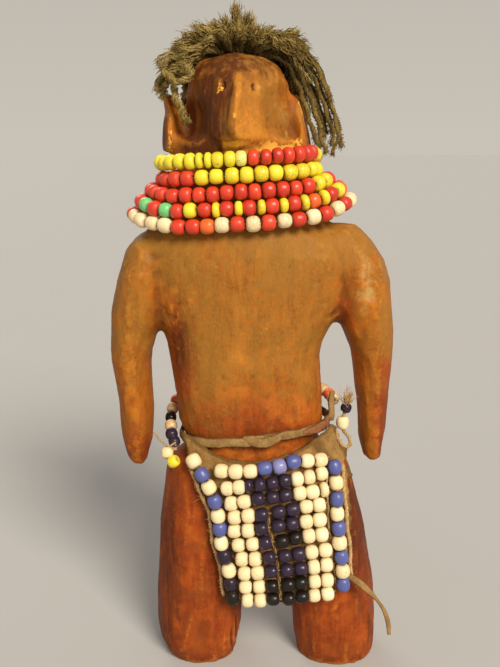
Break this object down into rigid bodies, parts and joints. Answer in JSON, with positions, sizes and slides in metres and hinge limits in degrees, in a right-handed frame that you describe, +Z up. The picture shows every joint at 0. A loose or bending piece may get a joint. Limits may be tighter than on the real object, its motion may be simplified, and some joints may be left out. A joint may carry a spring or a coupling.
{
  "type": "beaded doll",
  "caption": "Carved wooden doll with glass bead necklaces, a beaded hide apron hung from a waist thong, and a tuft of wool yarn hair",
  "frame": {"origin": "middle of the doll's footprint, on the plane of the soles", "axes": "+Z up along the standing figure, -Y out of its face, +X towards the viewer's right"},
  "size_m": [0.1048, 0.0534, 0.2444],
  "materials": {
    "stained_wood": "red-ochre stain, worn and waxed by handling",
    "olive_wool": "plied wool yarn, fuzzy",
    "tan_hide": "dry scraped hide",
    "grey_leather": "dry grey-brown leather and fibre",
    "red_glass": "opaque glass beads with a satin sheen",
    "yellow_glass": "opaque glass beads with a satin sheen",
    "white_glass": "opaque glass beads with a satin sheen",
    "blue_glass": "opaque glass beads with a satin sheen",
    "navy_glass": "opaque glass beads with a satin sheen"
  },
  "bodies": {
    "root": {"apron_edge_left": "blue_glass", "apron_edge_right": "blue_glass", "apron_hide": "tan_hide", "apron_row_01": "white_glass", "apron_row_02": "white_glass", "apron_row_03": "white_glass", "apron_row_04": "white_glass", "apron_row_05": "white_glass", "apron_row_06": "white_glass", "apron_row_07": "white_glass", "apron_row_08": "white_glass", "apron_row_09": "white_glass", "apron_row_10": "white_glass", "apron_tail_strip": "grey_leather", "carved_figure": "stained_wood", "hair_crest": "olive_wool", "hip_bead_string": "navy_glass", "hip_drop_beads": "white_glass", "hip_tie_cord": "grey_leather", "necklace_strand_1": "yellow_glass", "necklace_strand_2": "yellow_glass", "necklace_strand_3": "red_glass", "necklace_strand_4": "red_glass", "necklace_strand_5": "white_glass", "waist_thong": "grey_leather"}
  },
  "joints": []
}
